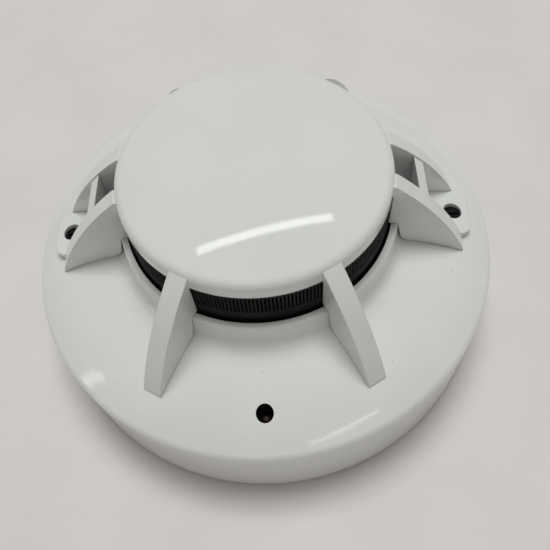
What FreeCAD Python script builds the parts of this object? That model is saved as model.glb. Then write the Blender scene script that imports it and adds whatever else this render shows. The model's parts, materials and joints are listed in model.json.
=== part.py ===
import FreeCAD, Part
import math
import os
import Sketcher
from FreeCAD import Placement, Rotation, Vector

# Round ceiling detector for smoke and heat, in millimetres.
# The origin is the centre of the back face that lies on the ceiling, +Z points into the room,
# the indicator is on the -Y side and the two screw ears of the vent cap are on the X axis.

doc = FreeCAD.newDocument("ceiling_detector")
sheet = doc.addObject("Spreadsheet::Sheet", "dims")


class Size:
    """A dimension kept as a number and as the formula that gives it from the sheet."""

    def __init__(self, value, formula):
        self.value = value
        self.formula = formula

    def _join(self, other, sign, value):
        return Size(value, f"({self.formula} {sign} {as_size(other).formula})")

    def __add__(self, other):
        return self._join(other, "+", self.value + as_size(other).value)

    def __sub__(self, other):
        return self._join(other, "-", self.value - as_size(other).value)

    def __mul__(self, other):
        return self._join(other, "*", self.value * as_size(other).value)

    def __truediv__(self, other):
        return self._join(other, "/", self.value / as_size(other).value)

    def __neg__(self):
        return self * -1


def as_size(number):
    return number if isinstance(number, Size) else Size(float(number), repr(float(number)))


def root(size):
    return Size(math.sqrt(size.value), f"sqrt({size.formula})")


def cosine(degrees):
    return Size(math.cos(math.radians(degrees.value)), f"cos({degrees.formula})")


def sine(degrees):
    return Size(math.sin(math.radians(degrees.value)), f"sin({degrees.formula})")


rows = []


def size(alias, value):
    """Adds a driving dimension to the sheet under its alias."""
    rows.append(alias)
    sheet.set(f"A{len(rows)}", alias)
    sheet.set(f"B{len(rows)}", str(value))
    sheet.setAlias(f"B{len(rows)}", alias)
    return Size(float(value), f"dims.{alias}")


# Outer cover
body_radius = size("body_radius", 50.0)
cover_wall = size("cover_wall", 2.0)
skirt_gap = size("skirt_gap", 0.5)
shoulder_room = size("shoulder_room", 1.8)
dome_rise = size("dome_rise", 6.9)
dome_setback = size("dome_setback", 1.3)
shoulder_fillet = size("shoulder_fillet", 1.8)
collar_gap = size("collar_gap", 0.6)
collar_lip = size("collar_lip", 1.3)
collar_height = size("collar_height", 5.7)
collar_flare = size("collar_flare", 0.8)
collar_fillet = size("collar_fillet", 2.0)
lip_fillet = size("lip_fillet", 0.5)
indicator_inset = size("indicator_inset", 7.8)
indicator_hole = size("indicator_hole", 1.65)

# Vent cap
cap_radius = size("cap_radius", 27.0)
cap_skirt = size("cap_skirt", 3.7)
window_height = size("window_height", 8.7)
cap_rise = size("cap_rise", 2.4)
cap_wall = size("cap_wall", 1.8)
cap_fillet = size("cap_fillet", 1.8)
fin_width = size("fin_width", 3.9)
fin_inset = size("fin_inset", 7.1)
fin_bulge = size("fin_bulge", 52.0)
fin_drop = size("fin_drop", 0.9)
fin_first_angle = size("fin_first_angle", 60.0)
bracket_fin_width = size("bracket_fin_width", 3.4)
bracket_splay = size("bracket_splay", 7.0)
bracket_half_gap = size("bracket_half_gap", 2.0)
bar_offset = size("bar_offset", 4.9)
bar_thickness = size("bar_thickness", 2.1)
ear_inset = size("ear_inset", 8.6)
ear_rise = size("ear_rise", 1.24)
ear_tilt = size("ear_tilt", 12.0)
ear_end = size("ear_end", 3.7)
ear_half_width = size("ear_half_width", 5.8)
ear_corner = size("ear_corner", 3.2)
ear_foot_radius = size("ear_foot_radius", 2.9)
ear_foot_depth = size("ear_foot_depth", 3.8)
screw_recess = size("screw_recess", 1.95)
screw_seat_depth = size("screw_seat_depth", 2.4)
seat_gap = size("seat_gap", 0.1)
sweep_ease = size("sweep_ease", 1.2)

# Insect screen and smoke chamber
screen_wall = size("screen_wall", 0.9)
screen_slot = size("screen_slot", 0.7)
screen_slots = size("screen_slots", 120)
chamber_gap = size("chamber_gap", 1.6)
chamber_wall = size("chamber_wall", 1.6)
chamber_depth = size("chamber_depth", 7.6)
flange_depth = size("flange_depth", 3.3)
flange_thickness = size("flange_thickness", 1.8)
flange_ledge = size("flange_ledge", 2.6)
vane_gap = size("vane_gap", 2.1)
vane_length = size("vane_length", 3.4)
vane_skew = size("vane_skew", 5.0)
vane_thickness = size("vane_thickness", 1.0)
vane_count = size("vane_count", 18)
lens_radius = size("lens_radius", 2.5)
optics_length = size("optics_length", 8.4)
optics_gap = size("optics_gap", 1.2)
optics_angle = size("optics_angle", 65.0)
bunker_half_width = size("bunker_half_width", 3.7)

# Circuit board, rear housing and base
board_gap = size("board_gap", 3.0)
board_room = size("board_room", 5.6)
board_thickness = size("board_thickness", 1.6)
housing_gap = size("housing_gap", 0.6)
housing_lift = size("housing_lift", 0.6)
housing_floor = size("housing_floor", 1.8)
rim_height = size("rim_height", 3.6)
boss_radius = size("boss_radius", 3.0)
boss_gap = size("boss_gap", 1.4)
pilot_radius = size("pilot_radius", 1.1)
head_radius = size("head_radius", 2.7)
post_gap = size("post_gap", 0.6)
bayonet_wall = size("bayonet_wall", 1.6)
lug_reach = size("lug_reach", 2.9)
lug_clearance = size("lug_clearance", 2.8)
lug_thickness = size("lug_thickness", 2.0)
lug_span = size("lug_span", 14.0)
ledge_span = size("ledge_span", 18.0)
bayonet_gap = size("bayonet_gap", 0.4)
axial_gap = size("axial_gap", 0.2)
base_step = size("base_step", 1.9)
base_wall = size("base_wall", 2.0)
base_floor = size("base_floor", 2.2)
ledge_thickness = size("ledge_thickness", 1.8)
cable_radius = size("cable_radius", 15.0)
slot_place = size("slot_place", 27.5)
slot_half_length = size("slot_half_length", 4.5)
slot_half_width = size("slot_half_width", 2.1)
terminal_rise = size("terminal_rise", 1.8)
terminal_length = size("terminal_length", 12.5)
terminal_gap = size("terminal_gap", 1.6)
terminal_half_width = size("terminal_half_width", 4.0)
terminal_screw_inset = size("terminal_screw_inset", 4.1)
contact_sheet = size("contact_sheet", 0.6)
finger_width = size("finger_width", 4.4)
blade_thickness = size("blade_thickness", 1.1)
blade_gap = size("blade_gap", 0.3)
running_gap = size("running_gap", 0.3)
screw_collar = size("screw_collar", 2.0)
boss_lift = size("boss_lift", 0.6)
ear_boss_wall = size("ear_boss_wall", 0.9)
cap_screw_radius = size("cap_screw_radius", 0.95)
screw_clearance = size("screw_clearance", 0.3)
housing_screw_length = size("housing_screw_length", 8.0)
head_recess = size("head_recess", 2.3)
fin_root = size("fin_root", 0.8)
fin_tip = size("fin_tip", 0.4)
bar_drop = size("bar_drop", 0.2)
spigot_depth = size("spigot_depth", 0.8)
spigot_wall = size("spigot_wall", 1.3)
plate_thickness = size("plate_thickness", 1.2)
gasket_gap = size("gasket_gap", 0.9)
screen_margin = size("screen_margin", 0.5)
screen_sill = size("screen_sill", 3.2)
lead_pitch = size("lead_pitch", 2.54)
lead_size = size("lead_size", 0.5)
leg_slot = size("leg_slot", 0.9)
bunker_gap = size("bunker_gap", 0.5)
shield_step = size("shield_step", 1.0)
shield_sheet = size("shield_sheet", 0.3)
bead_radius = size("bead_radius", 0.7)
bead_lift = size("bead_lift", 1.2)
bead_lead_radius = size("bead_lead_radius", 0.2)
led_radius = size("led_radius", 1.5)
led_height = size("led_height", 1.6)
holder_radius = size("holder_radius", 2.6)
holder_height = size("holder_height", 2.2)
tab_inset = size("tab_inset", 1.4)
tab_width = size("tab_width", 1.5)
tab_half_width = size("tab_half_width", 1.0)
tab_stand = size("tab_stand", 0.8)
chip_size = size("chip_size", 7.0)
chip_height = size("chip_height", 1.2)
small_chip = size("small_chip", 1.6)
can_radius = size("can_radius", 2.5)
can_height = size("can_height", 5.0)
stop_gap = size("stop_gap", 0.7)
stop_span = size("stop_span", 2.5)
terminal_screw_radius = size("terminal_screw_radius", 1.5)
terminal_screw_depth = size("terminal_screw_depth", 3.0)
washer_thickness = size("washer_thickness", 0.8)
small_head = size("small_head", 2.0)
head_thickness = size("head_thickness", 1.4)
driver_slot = size("driver_slot", 0.5)

HOUSING_SCREW_ANGLES = (90.0, 210.0, 330.0)
BOARD_SCREW_ANGLES = (30.0, 150.0, 270.0)
CONTACT_ANGLE = 45.0

doc.recompute()

# Heights, from the ceiling to the crown of the cap
terminal_top = base_floor + terminal_rise
lug_bottom = base_floor + lug_clearance
ledge_bottom = lug_bottom + lug_thickness + axial_gap
base_height = ledge_bottom + ledge_thickness
housing_bottom = base_height + housing_lift
blade_bottom = housing_bottom - blade_thickness
finger_top = blade_bottom - blade_gap
tray_top = housing_bottom + housing_floor
housing_rim_top = tray_top + rim_height
cover_boss_bottom = tray_top + screw_collar
board_bottom = tray_top + board_room
board_top = board_bottom + board_thickness
shoulder_height = board_top + shoulder_room
dome_top = shoulder_height + dome_rise
flange_top = dome_top - flange_depth
collar_top = dome_top + collar_height
cap_skirt_bottom = collar_top + window_height
cap_edge_top = cap_skirt_bottom + cap_skirt
crown = cap_edge_top + cap_rise
plate_bottom = cap_skirt_bottom - spigot_depth - plate_thickness - seat_gap
chamber_deck = plate_bottom - chamber_depth
optics_height = chamber_deck + chamber_depth / 2
bunker_top = plate_bottom - bunker_gap
bead_height = optics_height + bead_lift

# Rings of the vent cap, screen and chamber, from the cap outwards and inwards
cap_curve = (cap_radius * cap_radius + cap_rise * cap_rise) / (cap_rise * 2)
bar_place = cap_radius + bar_offset
screen_outer = cap_radius
screen_inner = screen_outer - screen_wall
collar_bore = cap_radius + collar_gap
lip_radius = collar_bore + collar_lip
foot_radius = lip_radius + collar_flare
dome_centre = foot_radius - dome_setback
dome_reach = body_radius - dome_centre
dome_radius = (dome_reach * dome_reach + dome_rise * dome_rise) / (dome_rise * 2)
flange_radius = screen_outer + flange_ledge
chamber_radius = screen_inner - chamber_gap
vane_outer = screen_inner - vane_gap
vane_inner = vane_outer - vane_length
optics_back = vane_inner - optics_gap
optics_front = optics_back - optics_length
bead_place = (chamber_radius + screen_inner) / 2

# Rings of the cover, board, housing and base, from the cover's wall inwards
inner_radius = body_radius - cover_wall
fin_reach = body_radius - fin_inset
ear_place = body_radius - ear_inset
indicator_place = body_radius - indicator_inset
board_radius = inner_radius - board_gap
housing_radius = inner_radius - housing_gap
base_radius = housing_radius - base_step
bayonet_radius = base_radius - base_wall - lug_reach - bayonet_gap
boss_circle = flange_radius + boss_radius + boss_gap
post_circle = indicator_place - holder_radius - small_head - post_gap
terminal_outer = bayonet_radius - bayonet_wall - terminal_gap
terminal_inner = terminal_outer - terminal_length
terminal_circle = terminal_inner + terminal_screw_inset
finger_inner = terminal_outer - finger_width
tab_inner = finger_inner + tab_inset
tab_outer = tab_inner + tab_width


def dome_height(radius, offset=0.0):
    """Height of the dome at a radius, on the surface shifted outwards by the offset."""
    curve = dome_radius + offset
    reach = radius - dome_centre
    return dome_top - dome_radius + root(curve * curve - reach * reach)


ear_height = dome_height(ear_place) + ear_rise
ear_foot_bottom = ear_height - ear_foot_depth
screw_seat = ear_height - screw_seat_depth
ear_boss_bottom = board_top + boss_lift


# ---------------------------------------------------------------- modelling helpers

def origin_part(body, role):
    return next(part for part in body.Origin.OriginFeatures if part.Role == role)


def new_body(name):
    body = doc.addObject("PartDesign::Body", name)
    body.Label = name
    return body


def new_sketch(body, name, role, height=0.0, turn=0.0, axis=Vector(0, 0, 1), base=None):
    """A sketch on one of the body's planes, lifted by height or base and turned about an axis."""
    sketch = body.newObject("Sketcher::SketchObject", name)
    sketch.AttachmentSupport = [(origin_part(body, role), "")]
    sketch.MapMode = "FlatFace"
    shift = base if base else (0.0, 0.0, height)
    values = [as_size(item).value for item in shift]
    sketch.AttachmentOffset = Placement(Vector(*values), Rotation(axis, as_size(turn).value))
    for letter, item in zip("xyz", shift):
        if isinstance(item, Size):
            sketch.setExpression(f"AttachmentOffset.Base.{letter}", item.formula)
    if isinstance(turn, Size):
        sketch.setExpression("AttachmentOffset.Rotation.Angle", turn.formula)
    return sketch


def hold(sketch, kind, geometry, point, measure):
    """Ties one coordinate of a point to the sketch's origin."""
    across = -2 if kind == "DistanceX" else -1
    if abs(as_size(measure).value) < 1e-9:
        sketch.addConstraint(Sketcher.Constraint("PointOnObject", geometry, point, across))
        return
    index = sketch.addConstraint(
        Sketcher.Constraint(kind, -1, 1, geometry, point, as_size(measure).value))
    if isinstance(measure, Size):
        sketch.setExpression(f"Constraints[{index}]", measure.formula)


def fix_radius(sketch, geometry, radius):
    index = sketch.addConstraint(Sketcher.Constraint("Radius", geometry, as_size(radius).value))
    if isinstance(radius, Size):
        sketch.setExpression(f"Constraints[{index}]", radius.formula)


def draw_circle(sketch, x, y, radius):
    centre = Vector(as_size(x).value, as_size(y).value, 0)
    index = sketch.addGeometry(Part.Circle(centre, Vector(0, 0, 1), as_size(radius).value))
    hold(sketch, "DistanceX", index, 3, x)
    hold(sketch, "DistanceY", index, 3, y)
    fix_radius(sketch, index, radius)


def draw_outline(sketch, corners, arcs=None):
    """A closed outline. arcs maps an edge to its radius, negative where it bulges to the right."""
    arcs = arcs or {}
    points = [Vector(as_size(x).value, as_size(y).value, 0) for x, y in corners]
    ends = []
    for index, start in enumerate(points):
        finish = points[(index + 1) % len(points)]
        if index not in arcs:
            ends.append((sketch.addGeometry(Part.LineSegment(start, finish)), 1, 2))
            continue
        radius, side = arcs[index]
        half = (finish - start) * 0.5
        left = Vector(-half.y, half.x, 0).normalize()
        centre = start + half - left * side * math.sqrt(radius.value ** 2 - half.Length ** 2)
        first, last = (finish, start) if side > 0 else (start, finish)
        begin = math.atan2(first.y - centre.y, first.x - centre.x)
        stop = math.atan2(last.y - centre.y, last.x - centre.x)
        stop += 2 * math.pi if stop < begin else 0
        circle = Part.Circle(centre, Vector(0, 0, 1), radius.value)
        number = sketch.addGeometry(Part.ArcOfCircle(circle, begin, stop))
        ends.append((number, 2, 1) if side > 0 else (number, 1, 2))
        fix_radius(sketch, number, radius)
    for index, (number, start_point, _) in enumerate(ends):
        before, _, before_end = ends[index - 1]
        sketch.addConstraint(
            Sketcher.Constraint("Coincident", before, before_end, number, start_point))
        hold(sketch, "DistanceX", number, start_point, corners[index][0])
        hold(sketch, "DistanceY", number, start_point, corners[index][1])


def rectangle(x_low, y_low, x_high, y_high):
    return [(x_low, y_low), (x_high, y_low), (x_high, y_high), (x_low, y_high)]


def sector(inner, outer, start, finish):
    """Corners of a ring segment between two angles, given as Sizes in degrees."""
    return [(inner * cosine(start), inner * sine(start)), (outer * cosine(start), outer * sine(start)),
            (outer * cosine(finish), outer * sine(finish)), (inner * cosine(finish), inner * sine(finish))]


def add_feature(body, kind, name, sketch, length=None, reverse=False, symmetric=False):
    feature = body.newObject(kind, name)
    feature.Profile = sketch
    feature.Reversed = reverse
    if length is None:
        feature.ReferenceAxis = (sketch, ["V_Axis"])
        feature.Angle = 360
    else:
        feature.Length = length.value
        feature.setExpression("Length", length.formula)
        if symmetric:
            feature.SideType = "Symmetric"
    body.Tip = feature
    return feature


def add_pad(body, name, sketch, length, **options):
    return add_feature(body, "PartDesign::Pad", name, sketch, length, **options)


def add_pocket(body, name, sketch, length, **options):
    """A pocket that is checked to remove material."""
    before = body.Tip
    pocket = add_feature(body, "PartDesign::Pocket", name, sketch, length, **options)
    doc.recompute()
    if pocket.Shape.Volume > before.Shape.Volume - 1e-3:
        raise RuntimeError(f"{name} removes nothing")
    return pocket


def add_revolution(body, name, corners, arcs=None):
    sketch = new_sketch(body, f"{name}_profile", "XZ_Plane")
    draw_outline(sketch, corners, arcs)
    return add_feature(body, "PartDesign::Revolution", name, sketch)


def add_groove(body, name, corners, arcs=None):
    """A groove all the way round that is checked to remove material."""
    before = body.Tip
    sketch = new_sketch(body, f"{name}_profile", "XZ_Plane")
    draw_outline(sketch, corners, arcs)
    groove = add_feature(body, "PartDesign::Groove", name, sketch)
    doc.recompute()
    if groove.Shape.Volume > before.Shape.Volume - 1e-3:
        raise RuntimeError(f"{name} removes nothing")
    return groove


def add_ring_of(body, name, features, count):
    """Repeats features round the Z axis."""
    pattern = body.newObject("PartDesign::PolarPattern", name)
    pattern.Originals = features
    pattern.Axis = (origin_part(body, "Z_Axis"), [""])
    pattern.Angle = 360
    pattern.Occurrences = count
    body.Tip = pattern
    return pattern


def add_fillet(body, name, radius, circles):
    """Rounds the circular edges that lie at the given (radius, height) pairs."""
    doc.recompute()
    base = body.Tip
    names = []
    for number, edge in enumerate(base.Shape.Edges, 1):
        box = edge.BoundBox
        for ring, height in circles:
            level = abs(box.ZMin - height.value) < 1e-3 and abs(box.ZMax - height.value) < 1e-3
            if level and isinstance(edge.Curve, Part.Circle) and abs(edge.Curve.Radius - ring.value) < 1e-3:
                names.append(f"Edge{number}")
    fillet = body.newObject("PartDesign::Fillet", name)
    fillet.Base = (base, names)
    fillet.Radius = radius.value
    fillet.setExpression("Radius", radius.formula)
    body.Tip = fillet
    return fillet


def bind(target, name, measure):
    target.setExpression(name, as_size(measure).formula)


def cylinder(name, radius, height, x=0.0, y=0.0, z=0.0):
    """A Part cylinder standing on the given point."""
    tube = doc.addObject("Part::Cylinder", name)
    bind(tube, "Radius", radius)
    bind(tube, "Height", height)
    for letter, place in zip("xyz", (x, y, z)):
        bind(tube, f"Placement.Base.{letter}", place)
    return tube


def block(name, x_low, y_low, z_low, length, width, height):
    """A Part box from its lowest corner."""
    box = doc.addObject("Part::Box", name)
    for key, measure in (("Length", length), ("Width", width), ("Height", height)):
        bind(box, key, measure)
    for letter, place in zip("xyz", (x_low, y_low, z_low)):
        bind(box, f"Placement.Base.{letter}", place)
    return box


def fuse(name, pieces):
    joined = doc.addObject("Part::MultiFuse", name)
    joined.Shapes = pieces
    joined.Label = name
    return joined


def cut(name, base, tool):
    left = doc.addObject("Part::Cut", name)
    left.Base = base
    left.Tool = tool
    left.Label = name
    return left


parts = []


def keep(item):
    parts.append(item)
    return item


# ---------------------------------------------------------------- white mouldings of the head

def polar_spot(radius, angle):
    return radius * cosine(as_size(angle)), radius * sine(as_size(angle))


def outer_cover():
    """Domed shell with the collar round the chamber opening and screw bosses under the dome."""
    body = keep(new_body("outer_cover"))
    inner = inner_radius
    add_revolution(body, "shell", [
        (body_radius, skirt_gap), (body_radius, dome_height(body_radius)),
        (foot_radius, dome_height(foot_radius)), (lip_radius, collar_top),
        (collar_bore, collar_top), (collar_bore, dome_height(collar_bore, -cover_wall)),
        (inner, dome_height(inner, -cover_wall)), (inner, skirt_gap)],
        {1: (dome_radius, -1), 5: (dome_radius - cover_wall, 1)})
    add_fillet(body, "shoulder_round", shoulder_fillet, [(body_radius, dome_height(body_radius))])
    add_fillet(body, "collar_sweep", collar_fillet, [(foot_radius, dome_height(foot_radius))])
    add_fillet(body, "lip_round", lip_fillet, [(lip_radius, collar_top)])
    first_boss = polar_spot(boss_circle, HOUSING_SCREW_ANGLES[0])
    for name, place, radius, bottom, count in (
            ("ear_boss", (ear_place, 0.0), ear_foot_radius + ear_boss_wall, ear_boss_bottom, 2),
            ("housing_boss", first_boss, boss_radius, cover_boss_bottom, 3)):
        outline = new_sketch(body, f"{name}_outline", "XY_Plane", bottom)
        draw_circle(outline, *place, radius)
        boss = add_pad(body, name, outline, cover_wall)
        boss.Type = "UpToFirst"
        add_ring_of(body, f"{name}es", [boss], count)
    feet = new_sketch(body, "ear_foot_holes_outline", "XY_Plane", dome_top)
    pilots = new_sketch(body, "ear_pilots_outline", "XY_Plane", ear_boss_bottom)
    for side in (1, -1):
        draw_circle(feet, ear_place * side, 0, ear_foot_radius + seat_gap)
        draw_circle(pilots, ear_place * side, 0, cap_screw_radius)
    add_pocket(body, "ear_foot_holes", feet, dome_top - ear_foot_bottom + seat_gap)
    add_pocket(body, "ear_pilots", pilots, ear_foot_bottom - ear_boss_bottom, reverse=True)
    threads = new_sketch(body, "housing_pilots_outline", "XY_Plane", cover_boss_bottom)
    for angle in HOUSING_SCREW_ANGLES:
        draw_circle(threads, *polar_spot(boss_circle, angle), pilot_radius)
    add_pocket(body, "housing_pilots", threads, housing_screw_length, reverse=True)
    window = new_sketch(body, "indicator_outline", "XY_Plane", dome_top)
    draw_circle(window, 0, -indicator_place, indicator_hole)
    add_pocket(body, "indicator_window", window, dome_top - ear_boss_bottom)


def vent_cap():
    """Domed cap carried on radial fins, with a screwed bracket of two fins, a bar and an ear per side."""
    body = keep(new_body("vent_cap"))
    cavity = cap_radius - cap_wall
    add_revolution(body, "cap", [
        (0, crown), (cap_radius, cap_edge_top), (cap_radius, cap_skirt_bottom),
        (cavity, cap_skirt_bottom), (cavity, cap_edge_top - cap_wall), (0, crown - cap_wall)],
        {0: (cap_curve, 1), 4: ((cavity * cavity + cap_rise * cap_rise) / (cap_rise * 2), -1)})
    add_fillet(body, "cap_round", cap_fillet, [(cap_radius, cap_edge_top)])

    low = dome_height(body_radius)
    fin_top = cap_edge_top - fin_drop
    tip = dome_height(fin_reach) + fin_tip
    run = fin_reach - cap_radius
    fall = fin_top - tip
    half_chord = root(run * run + fall * fall) / 2
    depth = root(fin_bulge * fin_bulge - half_chord * half_chord) / (half_chord * 2)
    centre_across = (cap_radius + fin_reach) / 2 - depth * fall
    centre_up = (fin_top + tip) / 2 - depth * run

    def sweep_height(radius):
        """Height of the fins' curved top at a radius."""
        reach = radius - centre_across
        return centre_up + root(fin_bulge * fin_bulge - reach * reach)

    def add_fin(name, width, turn, shift):
        sketch = new_sketch(body, f"{name}_outline", "XZ_Plane", turn=turn, axis=Vector(0, 1, 0),
                            base=(0.0, 0.0, shift))
        root_radius = cap_radius - fin_root
        draw_outline(sketch, [(root_radius, low), (fin_reach, low), (fin_reach, tip),
                              (cap_radius, fin_top), (root_radius, fin_top)],
                     {2: (fin_bulge, -1)})
        return add_pad(body, name, sketch, width, symmetric=True)

    near = add_fin("bracket_fin_near", bracket_fin_width, -bracket_splay, bracket_half_gap)
    far = add_fin("bracket_fin_far", bracket_fin_width, bracket_splay, -bracket_half_gap)
    first = add_fin("fin_first", fin_width, fin_first_angle, 0.0)
    second = add_fin("fin_second", fin_width, as_size(180.0) - fin_first_angle, 0.0)

    bar_end = bar_place + bar_thickness
    bar_outline = new_sketch(body, "bar_outline", "XZ_Plane")
    draw_outline(bar_outline, [(bar_place, low), (bar_end, low),
                               (bar_end, sweep_height(bar_end / cosine(bracket_splay)) - bar_drop),
                               (bar_place, sweep_height(bar_place / cosine(bracket_splay)) - bar_drop)])
    spread = bracket_half_gap + bar_place * sine(bracket_splay) / cosine(bracket_splay)
    bar = add_pad(body, "bar", bar_outline, spread * 2, symmetric=True)

    ear_outline = new_sketch(body, "ear_outline", "XY_Plane", turn=ear_tilt, axis=Vector(0, 1, 0),
                             base=(ear_place, 0.0, ear_height))
    inner = bar_place + bar_thickness / 4 - ear_place
    straight = ear_end - ear_corner
    flank = ear_half_width - ear_corner
    draw_outline(ear_outline, [(inner, -ear_half_width), (straight, -ear_half_width), (ear_end, -flank),
                               (ear_end, flank), (straight, ear_half_width), (inner, ear_half_width)],
                 {1: (ear_corner, -1), 3: (ear_corner, -1)})
    ear = add_pad(body, "ear", ear_outline, ear_height - low, reverse=True)
    add_ring_of(body, "both_sides", [near, far, first, second, bar, ear], 2)

    swept = foot_radius + collar_fillet
    shelf = inner_radius
    below = ear_boss_bottom - cover_wall * 5
    add_groove(body, "seat_on_cover", [
        (screen_inner, cap_skirt_bottom), (cap_radius + seat_gap, cap_skirt_bottom),
        (cap_radius + seat_gap, collar_top + seat_gap), (lip_radius + seat_gap, collar_top + seat_gap),
        (foot_radius + seat_gap, dome_height(foot_radius) + collar_fillet),
        (swept, dome_height(swept, seat_gap)), (shelf, dome_height(shelf, seat_gap)),
        (shelf, below), (screen_inner, below)],
        {4: (collar_fillet * sweep_ease, -1), 5: (dome_radius + seat_gap, 1)})

    spigot = new_sketch(body, "spigot_outline", "XY_Plane", cap_skirt_bottom - spigot_depth)
    draw_circle(spigot, 0, 0, screen_inner - seat_gap)
    draw_circle(spigot, 0, 0, screen_inner - spigot_wall)
    add_pad(body, "spigot", spigot, spigot_depth + cap_wall)

    feet = new_sketch(body, "feet_outline", "XY_Plane", ear_foot_bottom)
    recess = new_sketch(body, "screw_recess_outline", "XY_Plane", dome_top + cover_wall)
    clearance = new_sketch(body, "screw_hole_outline", "XY_Plane", dome_top)
    for side in (1, -1):
        draw_circle(feet, ear_place * side, 0, ear_foot_radius)
        draw_circle(recess, ear_place * side, 0, screw_recess)
        draw_circle(clearance, ear_place * side, 0, cap_screw_radius + screw_clearance)
    add_pad(body, "feet", feet, dome_top - ear_foot_bottom)
    above = new_sketch(body, "ear_face_outline", "XY_Plane", turn=ear_tilt, axis=Vector(0, 1, 0),
                       base=(ear_place, 0.0, ear_height))
    draw_circle(above, 0, 0, ear_foot_radius + seat_gap * 4)
    face = add_pocket(body, "ear_face", above, dome_top, reverse=True)
    add_ring_of(body, "both_ear_faces", [face], 2)
    add_pocket(body, "screw_recesses", recess, dome_top + cover_wall - screw_seat)
    add_pocket(body, "screw_holes", clearance, dome_top - ear_foot_bottom)


# ---------------------------------------------------------------- smoke chamber

def insect_screen():
    """Black ring whose upright slots keep insects out of the chamber."""
    height = cap_skirt_bottom.value - seat_gap.value - flange_top.value
    ring = Part.makeCylinder(screen_outer.value, height)
    ring = ring.cut(Part.makeCylinder(screen_inner.value, height))
    slot_low = collar_top.value + screen_sill.value - flange_top.value
    slot_height = height - slot_low - screen_margin.value
    corner = Vector(screen_inner.value - screen_wall.value, -screen_slot.value / 2, slot_low)
    slots = []
    for index in range(int(screen_slots.value)):
        slot = Part.makeBox(screen_wall.value * 3, screen_slot.value, slot_height, corner)
        slot.rotate(Vector(), Vector(0, 0, 1), 360.0 * (index + 0.5) / screen_slots.value)
        slots.append(slot)
    screen = keep(doc.addObject("Part::Feature", "insect_screen"))
    screen.Shape = ring.cut(Part.makeCompound(slots)).Solids[0]
    screen.Placement = Placement(Vector(0, 0, flange_top.value), Rotation())
    screen.setExpression("Placement.Base.z", flange_top.formula)


def chamber_base():
    """Black pedestal whose deck carries the two optic holders."""
    body = keep(new_body("chamber_base"))
    hollow = chamber_radius - chamber_wall
    add_revolution(body, "pedestal", [
        (chamber_radius, board_top), (chamber_radius, flange_top - flange_thickness),
        (flange_radius, flange_top - flange_thickness), (flange_radius, flange_top),
        (chamber_radius, flange_top), (chamber_radius, chamber_deck), (0, chamber_deck),
        (0, chamber_deck - chamber_wall), (hollow, chamber_deck - chamber_wall), (hollow, board_top)])
    for name, angle in (("emitter", -90.0 - optics_angle.value), ("receiver", -90.0 + optics_angle.value)):
        holder = new_sketch(body, f"{name}_holder_outline", "XY_Plane", chamber_deck, turn=angle)
        draw_outline(holder, rectangle(optics_front, -bunker_half_width, optics_back, bunker_half_width))
        add_pad(body, f"{name}_holder", holder, bunker_top - chamber_deck)
        bore = new_sketch(body, f"{name}_bore_outline", "YZ_Plane", turn=angle, axis=Vector(0, 1, 0))
        draw_circle(bore, 0, optics_height, lens_radius + seat_gap)
        add_pocket(body, f"{name}_bore", bore, optics_back + cover_wall, reverse=True)
        legs = new_sketch(body, f"{name}_leg_slot_outline", "XY_Plane", chamber_deck, turn=angle)
        draw_outline(legs, rectangle(optics_back + seat_gap, -lead_pitch,
                                     optics_back + leg_slot, lead_pitch))
        add_pocket(body, f"{name}_leg_slot", legs, chamber_wall * 2)
    leads = new_sketch(body, "thermistor_slot_outline", "XY_Plane", flange_top)
    draw_outline(leads, rectangle(-lead_pitch, chamber_radius + seat_gap, lead_pitch, screen_inner))
    add_pocket(body, "thermistor_slot", leads, flange_thickness * 2)


def labyrinth():
    """Black cover of the chamber, whose hanging chevron vanes pass smoke and stop light."""
    body = keep(new_body("labyrinth"))
    plate = new_sketch(body, "plate_outline", "XY_Plane", plate_bottom)
    draw_circle(plate, 0, 0, screen_inner - seat_gap * 2)
    add_pad(body, "plate", plate, plate_thickness)
    bend = (vane_inner + vane_outer) / 2
    rise = vane_skew / 4
    vane = new_sketch(body, "vane_outline", "XY_Plane", chamber_deck + seat_gap)
    draw_outline(vane, [(vane_inner, -rise), (bend, rise), (vane_outer, -rise),
                        (vane_outer, vane_thickness - rise), (bend, vane_thickness + rise),
                        (vane_inner, vane_thickness - rise)])
    hanging = add_pad(body, "vane", vane, plate_bottom - chamber_deck + plate_thickness / 2)
    add_ring_of(body, "vanes", [hanging], int(vane_count.value))


def chamber_gasket():
    """Foam ring that seals the chamber's flange to the cover."""
    body = keep(new_body("chamber_gasket"))
    inner = screen_outer + gasket_gap
    ceiling = dome_height(inner, -cover_wall)
    ring = new_sketch(body, "ring_outline", "XY_Plane", flange_top)
    draw_circle(ring, 0, 0, flange_radius - seat_gap)
    draw_circle(ring, 0, 0, inner)
    add_pad(body, "ring", ring, ceiling - flange_top - seat_gap)


def optic(name, turn):
    """A lensed optical device lying in its holder, with two leads bent down to the board."""
    length = optics_back - optics_front - lens_radius
    barrel = cylinder(f"{name}_barrel", lens_radius, length, optics_front + lens_radius, 0.0, optics_height)
    barrel.Placement.Rotation = Rotation(Vector(0, 1, 0), 90)
    lens = doc.addObject("Part::Sphere", f"{name}_lens")
    bind(lens, "Radius", lens_radius)
    bind(lens, "Placement.Base.x", optics_front + lens_radius)
    bind(lens, "Placement.Base.z", optics_height)
    leads = []
    for side in (1, -1):
        middle = lead_pitch / 2 * side - lead_size / 2
        leads.append(block(f"{name}_lead_{side}", optics_back - lead_size, middle, optics_height,
                           lead_size * 2 + seat_gap, lead_size, lead_size))
        leads.append(block(f"{name}_leg_{side}", optics_back + seat_gap * 2, middle, board_top,
                           lead_size, lead_size, optics_height - board_top + lead_size))
    device = keep(fuse(name, [barrel, lens] + leads))
    device.Placement = Placement(Vector(), Rotation(Vector(0, 0, 1), turn))


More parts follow.
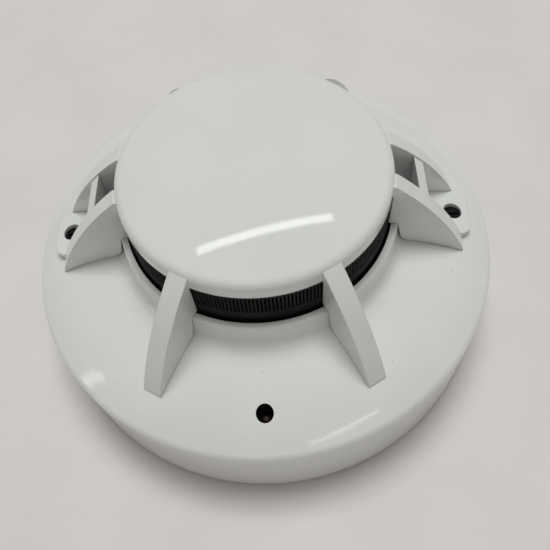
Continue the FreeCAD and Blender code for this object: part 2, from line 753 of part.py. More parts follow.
def photodiode_shield():
    """Tinned steel channel over the receiver's holder."""
    width = bunker_half_width * 2 + seat_gap * 2
    outer = block("shield_outside", optics_front + shield_step, -(width / 2 + shield_sheet), chamber_deck,
                  optics_back - optics_front - shield_step, width + shield_sheet * 2,
                  bunker_top - chamber_deck + seat_gap + shield_sheet)
    inner = block("shield_inside", optics_front, -(width / 2), chamber_deck - shield_sheet,
                  optics_back, width, bunker_top - chamber_deck + seat_gap + shield_sheet)
    shield = keep(cut("photodiode_shield", outer, inner))
    shield.Placement = Placement(Vector(), Rotation(Vector(0, 0, 1), -90.0 + optics_angle.value))


def thermistor():
    """Bead that senses the air's heat between the vanes and the screen."""
    bead = doc.addObject("Part::Sphere", "thermistor_bead")
    bind(bead, "Radius", bead_radius)
    bind(bead, "Placement.Base.y", bead_place)
    bind(bead, "Placement.Base.z", bead_height)
    bead.Placement.Rotation = Rotation(Vector(0, 0, 1), 90)
    leads = [cylinder(f"thermistor_lead_{side}", bead_lead_radius, bead_height - board_top,
                      bead_radius / 2 * side, bead_place, board_top) for side in (1, -1)]
    keep(fuse("thermistor", [bead] + leads))


def indicator():
    """Indicator lamp standing in its black holder under the window in the cover."""
    outside, inside = (cylinder(f"holder_{name}", radius, holder_height, 0.0, -indicator_place, board_top)
                       for name, radius in (("outside", holder_radius), ("inside", led_radius + seat_gap)))
    keep(cut("led_holder", outside, inside))
    barrel = cylinder("led_barrel", led_radius, led_height, 0.0, -indicator_place, board_top)
    lens = doc.addObject("Part::Sphere", "led_lens")
    bind(lens, "Radius", led_radius)
    bind(lens, "Placement.Base.y", -indicator_place)
    bind(lens, "Placement.Base.z", board_top + led_height)
    keep(fuse("alarm_led", [barrel, lens]))


# ---------------------------------------------------------------- circuit board

def circuit_board():
    body = keep(new_body("circuit_board"))
    disc = new_sketch(body, "disc_outline", "XY_Plane", board_bottom)
    draw_circle(disc, 0, 0, board_radius)
    add_pad(body, "disc", disc, board_thickness)
    holes = new_sketch(body, "holes_outline", "XY_Plane", board_top)
    for angle in HOUSING_SCREW_ANGLES:
        draw_circle(holes, *polar_spot(boss_circle, angle), boss_radius + running_gap)
    for angle in BOARD_SCREW_ANGLES:
        draw_circle(holes, *polar_spot(post_circle, angle), pilot_radius + seat_gap * 2)
    add_pocket(body, "holes", holes, board_thickness * 2)
    tab = new_sketch(body, "tab_slot_outline", "XY_Plane", board_top, turn=CONTACT_ANGLE)
    draw_outline(tab, rectangle(tab_inner - seat_gap, -tab_half_width - seat_gap,
                                tab_outer + seat_gap, tab_half_width + seat_gap))
    slot = add_pocket(body, "tab_slot", tab, board_thickness * 2)
    add_ring_of(body, "tab_slots", [slot], 4)


def board_components():
    """Parts soldered under the board: the controller, two capacitors and small chips."""
    chip = keep(new_body("microcontroller"))
    outline = new_sketch(chip, "package_outline", "XY_Plane", board_bottom)
    draw_outline(outline, rectangle(-chip_size * 1.5, -chip_size / 2, -chip_size / 2, chip_size / 2))
    add_pad(chip, "package", outline, chip_height, reverse=True)

    cans = keep(new_body("capacitors"))
    rounds = new_sketch(cans, "can_outlines", "XY_Plane", board_bottom)
    for step in (1, 2):
        draw_circle(rounds, can_radius * 3 * step, can_radius * 2, can_radius)
    add_pad(cans, "can_bodies", rounds, can_height, reverse=True)

    small = keep(new_body("chip_components"))
    pads = new_sketch(small, "chip_outlines", "XY_Plane", board_bottom)
    for step in range(6):
        left = small_chip * 2 * step - small_chip * 6
        draw_outline(pads, rectangle(left, -chip_size * 1.5, left + small_chip, -chip_size))
    add_pad(small, "chip_bodies", pads, small_chip / 2, reverse=True)


# ---------------------------------------------------------------- rear housing and base

def rear_housing():
    """Tray that closes the back of the head and carries the bayonet lugs."""
    body = keep(new_body("rear_housing"))
    ring_inner = bayonet_radius - bayonet_wall
    rim_inner = housing_radius - housing_floor
    add_revolution(body, "tray", [
        (0, housing_bottom), (ring_inner, housing_bottom), (ring_inner, lug_bottom),
        (bayonet_radius, lug_bottom), (bayonet_radius, housing_bottom), (housing_radius, housing_bottom),
        (housing_radius, housing_rim_top), (rim_inner, housing_rim_top),
        (rim_inner, tray_top), (0, tray_top)])
    lug_outline = new_sketch(body, "lug_outline", "XY_Plane", lug_bottom)
    draw_outline(lug_outline, sector(bayonet_radius - bayonet_wall / 2, bayonet_radius + lug_reach,
                                     -(lug_span / 2), lug_span / 2),
                 {1: (bayonet_radius + lug_reach, -1), 3: (bayonet_radius - bayonet_wall / 2, 1)})
    lug = add_pad(body, "lug", lug_outline, lug_thickness)
    add_ring_of(body, "lugs", [lug], 4)
    posts = new_sketch(body, "posts_outline", "XY_Plane", tray_top)
    pilots = new_sketch(body, "pilots_outline", "XY_Plane", board_bottom)
    for angle in BOARD_SCREW_ANGLES:
        draw_circle(posts, *polar_spot(post_circle, angle), boss_radius)
        draw_circle(pilots, *polar_spot(post_circle, angle), pilot_radius)
    add_pad(body, "posts", posts, board_bottom - tray_top)
    add_pocket(body, "pilots", pilots, board_bottom - tray_top)
    collars = new_sketch(body, "screw_collars_outline", "XY_Plane", tray_top)
    recesses = new_sketch(body, "head_recesses_outline", "XY_Plane", housing_bottom)
    holes = new_sketch(body, "screw_holes_outline", "XY_Plane", cover_boss_bottom)
    for angle in HOUSING_SCREW_ANGLES:
        draw_circle(collars, *polar_spot(boss_circle, angle), head_radius + bayonet_wall)
        draw_circle(recesses, *polar_spot(boss_circle, angle), head_radius + seat_gap * 2)
        draw_circle(holes, *polar_spot(boss_circle, angle), pilot_radius + seat_gap * 2)
    add_pad(body, "screw_collars", collars, cover_boss_bottom - tray_top)
    add_pocket(body, "head_recesses", recesses, head_recess, reverse=True)
    add_pocket(body, "screw_holes", holes, cover_boss_bottom - housing_bottom)
    tab = new_sketch(body, "tab_slot_outline", "XY_Plane", tray_top, turn=CONTACT_ANGLE)
    draw_outline(tab, rectangle(tab_inner - seat_gap, -tab_half_width - seat_gap,
                                tab_outer + seat_gap, tab_half_width + seat_gap))
    slot = add_pocket(body, "tab_slot", tab, housing_floor * 2)
    add_ring_of(body, "tab_slots", [slot], 4)


def contact_blades():
    """Four contact plates under the housing, with tabs up through the board."""
    body = keep(new_body("contact_blades"))
    plate = new_sketch(body, "plate_outline", "XY_Plane", blade_bottom, turn=CONTACT_ANGLE)
    draw_outline(plate, rectangle(finger_inner, -terminal_half_width, terminal_outer, terminal_half_width))
    pad = add_pad(body, "plate", plate, blade_thickness)
    tab = new_sketch(body, "tab_outline", "XY_Plane", housing_bottom, turn=CONTACT_ANGLE)
    draw_outline(tab, rectangle(tab_inner, -tab_half_width, tab_outer, tab_half_width))
    upright = add_pad(body, "tab", tab, board_top - housing_bottom + tab_stand)
    add_ring_of(body, "blades", [pad, upright], 4)


def mounting_base():
    """Round base for the ceiling, with cable entry, screw slots, terminals and the bayonet ledges."""
    body = keep(new_body("mounting_base"))
    entry_rim = cable_radius + bayonet_wall
    rim_inner = base_radius - base_wall
    add_revolution(body, "dish", [
        (cable_radius, 0), (base_radius, 0), (base_radius, base_height), (rim_inner, base_height),
        (rim_inner, base_floor), (entry_rim, base_floor), (entry_rim, terminal_top),
        (cable_radius, terminal_top)])
    ledge_inner = bayonet_radius + bayonet_gap
    ledge_outer = rim_inner + base_wall / 2
    ledge_outline = new_sketch(body, "ledge_outline", "XY_Plane", ledge_bottom)
    draw_outline(ledge_outline, sector(ledge_inner, ledge_outer, -(ledge_span / 2), ledge_span / 2),
                 {1: (ledge_outer, -1), 3: (ledge_inner, 1)})
    ledge = add_pad(body, "ledge", ledge_outline, ledge_thickness)
    stop_end = -(lug_span / 2) - stop_gap
    stop_outline = new_sketch(body, "stop_outline", "XY_Plane", base_floor)
    draw_outline(stop_outline, sector(ledge_inner, ledge_outer, stop_end - stop_span, stop_end),
                 {1: (ledge_outer, -1), 3: (ledge_inner, 1)})
    stop = add_pad(body, "stop", stop_outline, base_height - base_floor)
    seat_outline = new_sketch(body, "terminal_seat_outline", "XY_Plane", base_floor, turn=CONTACT_ANGLE)
    draw_outline(seat_outline, rectangle(terminal_inner, -terminal_half_width,
                                         terminal_outer, terminal_half_width))
    seat = add_pad(body, "terminal_seat", seat_outline, terminal_top - base_floor)
    add_ring_of(body, "quarters", [ledge, stop, seat], 4)
    pilot_outline = new_sketch(body, "terminal_pilot_outline", "XY_Plane", terminal_top, turn=CONTACT_ANGLE)
    draw_circle(pilot_outline, terminal_circle, 0, terminal_screw_radius + seat_gap)
    pilot = add_pocket(body, "terminal_pilot", pilot_outline, terminal_screw_depth + seat_gap)
    add_ring_of(body, "terminal_pilots", [pilot], 4)
    flats = new_sketch(body, "screw_slots_outline", "XY_Plane", base_floor)
    ends = new_sketch(body, "screw_slot_ends_outline", "XY_Plane", base_floor)
    reach = slot_half_length - slot_half_width
    for side in (1, -1):
        middle = slot_place * side
        draw_outline(flats, rectangle(middle - reach, -slot_half_width, middle + reach, slot_half_width))
        draw_circle(ends, middle - reach, 0, slot_half_width)
        draw_circle(ends, middle + reach, 0, slot_half_width)
    add_pocket(body, "screw_slots", flats, base_floor * 2)
    add_pocket(body, "screw_slot_ends", ends, base_floor * 2)


def contact_springs():
    """Four sprung contact strips on the base's terminal seats."""
    body = keep(new_body("contact_springs"))
    half = terminal_half_width - seat_gap * 4
    strip = new_sketch(body, "strip_outline", "XY_Plane", terminal_top, turn=CONTACT_ANGLE)
    draw_outline(strip, rectangle(terminal_inner + seat_gap, -half, terminal_outer - seat_gap, half))
    draw_circle(strip, terminal_circle, 0, terminal_screw_radius + seat_gap)
    plate = add_pad(body, "strip", strip, contact_sheet)
    turned = as_size(CONTACT_ANGLE)
    finger = new_sketch(body, "finger_outline", "YZ_Plane", turn=CONTACT_ANGLE, axis=Vector(0, 1, 0),
                        base=(finger_inner * sine(turned), 0.0, finger_inner * cosine(turned)))
    foot = terminal_top + contact_sheet / 2
    hook = finger_top - contact_sheet * 2
    crest = -(half / 4)
    draw_outline(finger, [(half, foot), (half, foot + contact_sheet), (crest, finger_top),
                          (-half, hook), (-half, hook - contact_sheet),
                          (crest, finger_top - contact_sheet), (half / 2, foot)])
    leaf = add_pad(body, "finger", finger, terminal_outer - finger_inner - seat_gap)
    add_ring_of(body, "springs", [plate, leaf], 4)


def screws(name, spots, seat, head, head_height, shank, length, slot, upward=False):
    """Identical screws: heads on the seat height and shanks the other way, with a driver slot."""
    body = keep(new_body(name))
    heads = new_sketch(body, "heads_outline", "XY_Plane", seat)
    shanks = new_sketch(body, "shanks_outline", "XY_Plane", seat)
    top = seat - head_height if upward else seat + head_height
    slots = new_sketch(body, "driver_slots_outline", "XY_Plane", top)
    for x, y in spots:
        draw_circle(heads, x, y, head)
        draw_circle(shanks, x, y, shank)
        reach = head * 0.7
        draw_outline(slots, rectangle(x - reach, y - slot / 2, x + reach, y + slot / 2))
    add_pad(body, "heads", heads, head_height, reverse=upward)
    add_pad(body, "shanks", shanks, length, reverse=not upward)
    add_pocket(body, "driver_slots", slots, head_height / 2, reverse=upward)


def terminal_washers():
    body = keep(new_body("terminal_washers"))
    seat = terminal_top + contact_sheet
    outline = new_sketch(body, "washer_outline", "XY_Plane", seat, turn=CONTACT_ANGLE)
    reach = terminal_screw_radius * 2
    draw_outline(outline, rectangle(terminal_circle - reach, -reach, terminal_circle + reach, reach))
    draw_circle(outline, terminal_circle, 0, terminal_screw_radius + seat_gap)
    washer = add_pad(body, "washer", outline, washer_thickness)
    add_ring_of(body, "washers", [washer], 4)


# ---------------------------------------------------------------- assembly

def make_screws():
    screws("cap_screws", [(ear_place * side, as_size(0.0)) for side in (1, -1)], screw_seat,
           screw_recess - seat_gap * 1.5, head_thickness, cap_screw_radius - seat_gap / 2,
           screw_seat - ear_boss_bottom - seat_gap, driver_slot)
    screws("housing_screws", [polar_spot(boss_circle, angle) for angle in HOUSING_SCREW_ANGLES],
           housing_bottom + head_recess, head_radius, head_thickness, pilot_radius - seat_gap / 2,
           housing_screw_length, driver_slot, upward=True)
    screws("board_screws", [polar_spot(post_circle, angle) for angle in BOARD_SCREW_ANGLES],
           board_top, small_head, head_thickness, pilot_radius - seat_gap / 2,
           board_room, driver_slot)
    clamped = contact_sheet + washer_thickness
    screws("terminal_screws", [polar_spot(terminal_circle, CONTACT_ANGLE + 90.0 * step) for step in range(4)],
           terminal_top + clamped, head_radius, head_thickness, terminal_screw_radius,
           terminal_screw_depth + clamped, driver_slot)


for make in (mounting_base, contact_springs, terminal_washers, rear_housing, contact_blades, circuit_board,
             board_components, chamber_base, labyrinth, chamber_gasket, insect_screen, photodiode_shield,
             thermistor, indicator, outer_cover, vent_cap, make_screws):
    make()
optic("ir_emitter", -90.0 - optics_angle.value)
optic("photodiode", -90.0 + optics_angle.value)
doc.recompute()

for item in doc.Objects:
    if {"Invalid", "Error"} & set(item.State):
        raise RuntimeError(f"{item.Name} failed: {item.State}")
for item in parts:
    if item.Shape.isNull() or not item.Shape.isValid():
        raise RuntimeError(f"{item.Label} has no valid shape")

os.makedirs("parts", exist_ok=True)
for item in parts:
    item.Shape.exportStep(f"parts/{item.Label}.step")
    print(item.Label, len(item.Shape.Solids), "solids,", round(item.Shape.Volume, 1), "mm3")
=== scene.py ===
import json
import math

import bmesh
import bpy
from mathutils import Matrix, Vector


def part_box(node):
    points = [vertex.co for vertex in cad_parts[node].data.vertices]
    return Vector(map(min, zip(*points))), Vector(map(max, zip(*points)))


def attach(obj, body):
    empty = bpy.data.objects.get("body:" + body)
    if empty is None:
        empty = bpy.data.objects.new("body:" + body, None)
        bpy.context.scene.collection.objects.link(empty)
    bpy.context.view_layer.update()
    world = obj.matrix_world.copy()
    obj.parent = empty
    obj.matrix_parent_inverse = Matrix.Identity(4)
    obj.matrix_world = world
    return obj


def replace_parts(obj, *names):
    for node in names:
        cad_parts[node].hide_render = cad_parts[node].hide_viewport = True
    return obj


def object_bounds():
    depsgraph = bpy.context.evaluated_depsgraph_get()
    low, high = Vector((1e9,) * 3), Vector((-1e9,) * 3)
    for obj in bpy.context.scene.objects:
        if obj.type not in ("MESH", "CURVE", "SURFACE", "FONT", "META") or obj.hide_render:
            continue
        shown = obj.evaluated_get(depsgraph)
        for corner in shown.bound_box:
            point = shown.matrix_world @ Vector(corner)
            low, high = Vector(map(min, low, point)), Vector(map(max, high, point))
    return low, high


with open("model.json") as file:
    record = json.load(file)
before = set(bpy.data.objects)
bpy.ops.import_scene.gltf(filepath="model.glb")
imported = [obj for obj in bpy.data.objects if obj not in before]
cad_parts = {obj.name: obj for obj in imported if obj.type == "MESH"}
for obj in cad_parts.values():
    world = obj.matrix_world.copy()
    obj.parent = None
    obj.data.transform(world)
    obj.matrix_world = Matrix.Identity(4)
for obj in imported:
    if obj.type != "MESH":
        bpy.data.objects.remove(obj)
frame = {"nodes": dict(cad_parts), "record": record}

# Round ceiling detector, lying on its back: +Z points away from the surface it is fixed to, and
# -Y is the indicator's side. Everything is in metres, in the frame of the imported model.

CAD_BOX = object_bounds()
MM = 0.001

FLOOR_HEIGHT = CAD_BOX[0][2]
FLOOR_GAP = 0.05 * MM
FLOOR_SIZE = 4.0
SCREEN_BOX = [Vector(corner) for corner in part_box("insect_screen")]
SCREEN_WALL = 0.9 * MM
SLOT_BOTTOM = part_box("outer_cover")[1][2] + 3.2 * MM
SLOT_TOP = SCREEN_BOX[1].z - 0.5 * MM
SLOT_SHARE = 0.42
BAR_COUNT = 240
BAR_CROWN = 0.08 * MM
SHARP_ANGLE = math.radians(25)
INDICATOR = sum((Vector(corner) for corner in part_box("alarm_led")), Vector()) / 2
# Radius of the painted shade, near black, on the wall of the indicator hole in the cover.
PAINTED_HOLE_SHADE_RADIUS = 1.68 * MM


# ---------------------------------------------------------------- materials

COVER = (0.825, 0.835, 0.815)
CAP = (0.785, 0.805, 0.79)
DUST = (0.30, 0.27, 0.23)
# Near-black colour painted on the wall of the indicator hole as shade.
PAINTED_HOLE_SHADE = (0.01, 0.01, 0.011)


class Shader:
    """A material with one Principled shader, and short ways to add and join nodes."""

    def __init__(self, name, colour, roughness, **settings):
        self.material = bpy.data.materials.new(name)
        self.material.use_nodes = True
        self.tree = self.material.node_tree
        self.shader = self.tree.nodes["Principled BSDF"]
        self.shader.inputs["Base Color"].default_value = (*colour, 1.0)
        self.shader.inputs["Roughness"].default_value = roughness
        for socket, value in settings.items():
            self.shader.inputs[socket.replace("_", " ")].default_value = value
        self.place = self.add("ShaderNodeTexCoord").outputs["Object"]
        self.normal = None

    def add(self, kind, **settings):
        node = self.tree.nodes.new(kind)
        for name, value in settings.items():
            if name in node.inputs:
                node.inputs[name].default_value = value
            else:
                setattr(node, name, value)
        return node

    def join(self, output, target):
        self.tree.links.new(output, target)

    def noise(self, size, detail=3.0, stretch=None):
        """Noise whose grains are about the given size in metres."""
        node = self.add("ShaderNodeTexNoise", Scale=1.0 / size, Detail=detail)
        place = self.place
        if stretch:
            mapping = self.add("ShaderNodeMapping", Scale=stretch)
            self.join(place, mapping.inputs["Vector"])
            place = mapping.outputs["Vector"]
        self.join(place, node.inputs["Vector"])
        return node.outputs["Fac"]

    def ramp(self, factor, low, high, stops=(0.35, 0.65)):
        """Values or colours from low to high as the factor goes through the stops."""
        node = self.add("ShaderNodeValToRGB")
        for stop, place, value in zip(node.color_ramp.elements, stops, (low, high)):
            stop.position = place
            stop.color = (*value, 1.0) if isinstance(value, tuple) else (value, value, value, 1.0)
        self.join(factor, node.inputs["Fac"])
        return node.outputs["Color"]

    def colour_from(self, output):
        self.join(output, self.shader.inputs["Base Color"])

    def roughness_from(self, output):
        self.join(output, self.shader.inputs["Roughness"])

    def mix(self, factor, first, second):
        """Mixes two colours, each an output or a tuple."""
        node = self.add("ShaderNodeMix", data_type="RGBA")
        self.join(factor, node.inputs["Factor"])
        for socket, value in ((6, first), (7, second)):
            if isinstance(value, tuple):
                node.inputs[socket].default_value = (*value, 1.0)
            else:
                self.join(value, node.inputs[socket])
        return node.outputs[2]

    def round_edges(self, radius):
        """Catches light along the edges as if they were rounded by the radius in metres."""
        node = self.add("ShaderNodeBevel", samples=4, Radius=radius)
        self.normal = node.outputs["Normal"]
        self.join(self.normal, self.shader.inputs["Normal"])

    def within(self, centre, radius):
        """1 within a radius of the upright axis through a point, and 0 outside it."""
        flat = self.add("ShaderNodeVectorMath", operation="MULTIPLY")
        flat.inputs[1].default_value = (1, 1, 0)
        self.join(self.place, flat.inputs[0])
        reach = self.add("ShaderNodeVectorMath", operation="DISTANCE")
        reach.inputs[1].default_value = (centre.x, centre.y, 0)
        self.join(flat.outputs[0], reach.inputs[0])
        inside = self.add("ShaderNodeMath", operation="LESS_THAN")
        inside.inputs[1].default_value = radius
        self.join(reach.outputs["Value"], inside.inputs[0])
        return inside.outputs[0]

    def bump(self, height, depth):
        """Bumps of the given depth in metres, on top of earlier ones."""
        node = self.add("ShaderNodeBump", Strength=1.0, Distance=depth)
        self.join(height, node.inputs["Height"])
        if self.normal:
            self.join(self.normal, node.inputs["Normal"])
        self.normal = node.outputs["Normal"]
        self.join(self.normal, self.shader.inputs["Normal"])


def moulded_plastic(name, colour, roughness, ripple=3.0 * MM, grain=0.25 * MM, depth=0.0015 * MM,
                    dust=0.0, edge=0.0, gloss=0.5, hole_shade_at=None):
    """Injection-moulded plastic: slow sink ripples, fine grain, uneven gloss and a little dust.

    An edge softens the corners by that radius, and a point given for the indicator hole gets
    painted shade: the colour turns near black within a small radius of the upright axis through it.
    """
    shade = Shader(name, colour, roughness, IOR=1.49, Specular_IOR_Level=gloss)
    if edge:
        shade.round_edges(edge)
    darker = tuple(channel * 0.965 for channel in colour)
    tone = shade.ramp(shade.noise(22 * MM), darker, colour)
    if dust:
        speck = shade.ramp(shade.noise(0.55 * MM, detail=1.0), 0.0, 1.0, stops=(0.755, 0.775))
        spread = shade.ramp(shade.noise(11 * MM), 0.0, dust, stops=(0.45, 0.6))
        amount = shade.add("ShaderNodeMath", operation="MULTIPLY")
        shade.join(speck, amount.inputs[0])
        shade.join(spread, amount.inputs[1])
        tone = shade.mix(amount.outputs[0], tone, DUST)
    # Painted shade: the wall of the indicator hole is coloured near black for the shade inside it.
    if hole_shade_at:
        tone = shade.mix(shade.within(hole_shade_at, PAINTED_HOLE_SHADE_RADIUS), tone, PAINTED_HOLE_SHADE)
    shade.colour_from(tone)
    shade.roughness_from(shade.ramp(shade.noise(7 * MM), roughness * 0.85, roughness * 1.2))
    shade.bump(shade.noise(ripple, detail=1.0), depth * 4)
    shade.bump(shade.noise(grain), depth)
    return shade.material


def brushed_metal(name, colour, roughness, dark=0.82):
    """Plated metal with fine drawn lines and faint stains."""
    shade = Shader(name, colour, roughness, Metallic=1.0)
    stain = tuple(channel * dark for channel in colour)
    shade.colour_from(shade.ramp(shade.noise(1.4 * MM), stain, colour))
    lines = shade.noise(0.12 * MM, stretch=(1.0, 0.06, 1.0))
    shade.roughness_from(shade.ramp(lines, roughness * 0.8, roughness * 1.3))
    shade.bump(lines, 0.004 * MM)
    return shade.material


def circuit_laminate(name):
    """Green solder mask over tracks, with tinned pads between them."""
    shade = Shader(name, (0.02, 0.16, 0.06), 0.35, Coat_Weight=0.3)
    tracks = shade.add("ShaderNodeTexVoronoi", Scale=1.0 / (3.2 * MM), feature="DISTANCE_TO_EDGE")
    shade.join(shade.place, tracks.inputs["Vector"])
    line = shade.ramp(tracks.outputs["Distance"], (0.05, 0.27, 0.10), (0.015, 0.12, 0.05),
                      stops=(0.05, 0.09))
    pads = shade.add("ShaderNodeTexVoronoi", Scale=1.0 / (2.54 * MM), Randomness=0.25)
    shade.join(shade.place, pads.inputs["Vector"])
    pad = shade.ramp(pads.outputs["Distance"], 1.0, 0.0, stops=(0.16, 0.2))
    shade.colour_from(shade.mix(pad, line, (0.62, 0.62, 0.6)))
    shade.bump(tracks.outputs["Distance"], 0.02 * MM)
    return shade.material


def clear_resin(name, colour, roughness=0.08):
    """Cast epoxy lens with faint swirls."""
    shade = Shader(name, colour, roughness, Transmission_Weight=0.75, IOR=1.54)
    shade.roughness_from(shade.ramp(shade.noise(0.6 * MM), roughness * 0.7, roughness * 1.5))
    shade.bump(shade.noise(0.8 * MM), 0.003 * MM)
    return shade.material


def closed_foam(name):
    shade = Shader(name, (0.03, 0.03, 0.03), 0.9)
    cells = shade.add("ShaderNodeTexVoronoi", Scale=1.0 / (0.4 * MM))
    shade.join(shade.place, cells.inputs["Vector"])
    shade.colour_from(shade.ramp(cells.outputs["Distance"], (0.015,) * 3, (0.05,) * 3))
    shade.bump(cells.outputs["Distance"], 0.05 * MM)
    return shade.material


MATERIALS = {
    # The cover carries painted shade round the indicator hole.
    "cover_white": moulded_plastic("cover_white", COVER, 0.10, ripple=6.0 * MM,
                                   depth=0.0006 * MM, dust=0.55, edge=0.3 * MM, hole_shade_at=INDICATOR),
    "cap_white": moulded_plastic("cap_white", CAP, 0.045, ripple=6.0 * MM,
                                 depth=0.0005 * MM, dust=0.35, edge=0.35 * MM),
    "base_white": moulded_plastic("base_white", (0.72, 0.72, 0.68), 0.42, grain=0.15 * MM,
                                  depth=0.004 * MM),
    "housing_white": moulded_plastic("housing_white", (0.70, 0.70, 0.66), 0.42, grain=0.15 * MM,
                                     depth=0.004 * MM),
    "chamber_black": moulded_plastic("chamber_black", (0.012, 0.012, 0.013), 0.55, grain=0.1 * MM,
                                     depth=0.006 * MM),
    "screen_black": moulded_plastic("screen_black", (0.004, 0.004, 0.0045), 0.62,
                                    grain=0.1 * MM, depth=0.004 * MM, gloss=0.2),
    "package_black": moulded_plastic("package_black", (0.02, 0.02, 0.021), 0.5, grain=0.08 * MM,
                                     depth=0.004 * MM),
    "chip_tan": moulded_plastic("chip_tan", (0.38, 0.29, 0.19), 0.45, grain=0.08 * MM),
    "bead_grey": moulded_plastic("bead_grey", (0.07, 0.06, 0.055), 0.4, grain=0.15 * MM,
                                 depth=0.01 * MM),
    "board_green": circuit_laminate("board_green"),
    "lens_dark": clear_resin("lens_dark", (0.05, 0.03, 0.07)),
    "lens_clear": clear_resin("lens_clear", (0.85, 0.88, 0.92)),
    # Painted shade: the red lens is darkened almost to black for the shade deep in the indicator
    # hole.
    "lamp_red": clear_resin("lamp_red", (0.035, 0.003, 0.003), 0.45),
    "tinned": brushed_metal("tinned", (0.62, 0.62, 0.61), 0.32),
    "can_metal": brushed_metal("can_metal", (0.66, 0.67, 0.69), 0.3),
    "spring_brass": brushed_metal("spring_brass", (0.70, 0.55, 0.28), 0.28),
    "screw_zinc": brushed_metal("screw_zinc", (0.60, 0.61, 0.63), 0.26),
    "screw_black": brushed_metal("screw_black", (0.035, 0.035, 0.038), 0.3),
    "foam": closed_foam("foam"),
}

SLOTS = {entry["node"]: entry["material_slot"] for entry in frame["record"]["subparts"]}


def dress_nodes():
    """Gives each node its material, and smooth shading between its sharp edges."""
    for name, node in frame["nodes"].items():
        node.data.materials.clear()
        node.data.materials.append(MATERIALS[SLOTS[name]])
        node.data.polygons.foreach_set("use_smooth", [True] * len(node.data.polygons))
        node.data.set_sharp_from_angle(angle=SHARP_ANGLE)


# ---------------------------------------------------------------- pieces

def new_piece(name, mesh_maker, slot, body):
    """A mesh piece that rides on a body and takes its finish from a material slot."""
    mesh = bpy.data.meshes.new(name)
    shape = bmesh.new()
    mesh_maker(shape)
    bmesh.ops.recalc_face_normals(shape, faces=shape.faces)
    shape.to_mesh(mesh)
    shape.free()
    piece = bpy.data.objects.new(name, mesh)
    bpy.context.scene.collection.objects.link(piece)
    mesh.materials.append(MATERIALS[slot])
    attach(piece, body)
    return piece


def turned(ring, angle, height):
    return Vector((ring * math.cos(angle), ring * math.sin(angle), height))


def fine_screen(shape):
    """The insect screen with its fine slots: two bands, and upright bars with rounded faces."""
    low, high = (corner.z for corner in SCREEN_BOX)
    outer = SCREEN_BOX[1].x
    inner = outer - SCREEN_WALL
    levels = ((low, SLOT_BOTTOM), (SLOT_TOP, high))
    steps = BAR_COUNT * 2
    for bottom, top in levels:
        section = ((outer, bottom), (outer, top), (inner, top), (inner, bottom))
        rings = []
        for step in range(steps):
            angle = math.tau * step / steps
            rings.append([shape.verts.new(turned(ring, angle, height)) for ring, height in section])
        for step, ring in enumerate(rings):
            ahead = rings[(step + 1) % steps]
            for side in range(4):
                after = (side + 1) % 4
                shape.faces.new((ring[side], ahead[side], ahead[after], ring[after]))
    half = math.tau / BAR_COUNT * (1 - SLOT_SHARE) / 2
    outline = ((inner, -half), (outer - BAR_CROWN, -half), (outer, -half / 2), (outer, half / 2),
               (outer - BAR_CROWN, half), (inner, half))
    for bar in range(BAR_COUNT):
        middle = math.tau * (bar + 0.5) / BAR_COUNT
        columns = [[shape.verts.new(turned(ring, middle + offset, height))
                    for height in (SLOT_BOTTOM, SLOT_TOP)] for ring, offset in outline]
        for index, column in enumerate(columns):
            ahead = columns[(index + 1) % len(columns)]
            shape.faces.new((column[0], ahead[0], ahead[1], column[1]))


# ---------------------------------------------------------------- setting

PAPER_DARK = (0.77, 0.745, 0.725)
PAPER_LIGHT = (0.81, 0.785, 0.765)
ROOM_TINT = (1.0, 0.955, 0.91, 1.0)
LAMP_TINT = (0.97, 1.0, 0.98)
WINDOW_TINT = (1.0, 0.98, 0.95)
CAMERA_PLACE = Vector((7.27, -78.14, 138.2)) * MM
CAMERA_ANGLES = (-3.97, 59.98, -6.46)
CAMERA_LENS = 41.03


def pale_floor():
    """A wide pale sheet under the part that keeps its shadow and has a faint paper grain."""
    shade = Shader("paper", PAPER_LIGHT, 0.55)
    shade.colour_from(shade.ramp(shade.noise(30 * MM), PAPER_DARK, PAPER_LIGHT))
    shade.bump(shade.noise(0.5 * MM), 0.02 * MM)
    bpy.ops.mesh.primitive_plane_add(size=FLOOR_SIZE, location=(0, 0, FLOOR_HEIGHT - FLOOR_GAP))
    floor = bpy.context.object
    floor.name = "floor"
    floor.data.materials.append(shade.material)


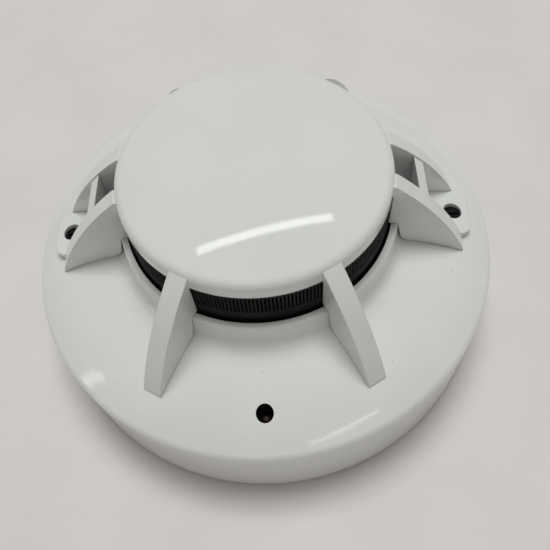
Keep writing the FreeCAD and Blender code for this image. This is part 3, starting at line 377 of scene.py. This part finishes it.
def area_lamp(name, place, width, height, radiance, turn=None, colour=LAMP_TINT):
    """A rectangular lamp: it faces down and turned about Z, or faces the part without a turn."""
    lamp = bpy.data.lights.new(name, "AREA")
    lamp.shape = "RECTANGLE"
    lamp.size = width
    lamp.size_y = height
    lamp.energy = radiance * math.pi * width * height
    lamp.color = colour
    holder = bpy.data.objects.new(name, lamp)
    holder.location = place
    if turn is None:
        holder.rotation_euler = Vector(place).to_track_quat("Z", "Y").to_euler()
    else:
        holder.rotation_euler = (0, 0, math.radians(turn))
    bpy.context.scene.collection.objects.link(holder)
    return holder


def soft_world(level):
    world = bpy.data.worlds.new("room")
    bpy.context.scene.world = world
    world.use_nodes = True
    back = world.node_tree.nodes["Background"]
    back.inputs["Color"].default_value = ROOM_TINT
    back.inputs["Strength"].default_value = level


def hand_held_camera():
    """Looks down on the indicator's side from 60 degrees up, a little turned and tilted."""
    turn, lift, roll = (math.radians(angle) for angle in CAMERA_ANGLES)
    unturn = Matrix.Rotation(-turn, 3, "Z")
    across = Vector((1, 0, 0))
    upward = Vector((0, math.sin(lift), math.cos(lift)))
    backward = -Vector((0, math.cos(lift), -math.sin(lift)))
    right = unturn @ (math.cos(roll) * across + math.sin(roll) * upward)
    up = unturn @ (-math.sin(roll) * across + math.cos(roll) * upward)
    back = unturn @ backward
    camera = bpy.data.cameras.new("camera")
    camera.sensor_width = 36.0
    camera.lens = CAMERA_LENS
    camera.clip_start = 0.005
    holder = bpy.data.objects.new("camera", camera)
    holder.matrix_world = Matrix.Translation(CAMERA_PLACE) @ Matrix(
        (right, up, back)).transposed().to_4x4()
    bpy.context.scene.collection.objects.link(holder)
    bpy.context.scene.camera = holder


dress_nodes()
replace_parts(new_piece("slotted_screen", fine_screen, "screen_black", "head"), "insect_screen")
pale_floor()
soft_world(0.27)
area_lamp("tube_lamp", (-0.04, 0.77, 2.0), 1.12, 0.075, 7.4, turn=14)
glow = area_lamp("soft_lamp", (0.05, 0.38, 1.9), 0.9, 0.6, 11.0, turn=0)
glow.visible_glossy = False
area_lamp("front_lamp", (0.72, -1.28, 1.30), 0.85, 0.05, 6.0)
area_lamp("side_window", (-1.74, -0.4, 0.9), 0.12, 0.45, 4.0, colour=WINDOW_TINT)
hand_held_camera()
bpy.context.scene.view_settings.view_transform = "Standard"
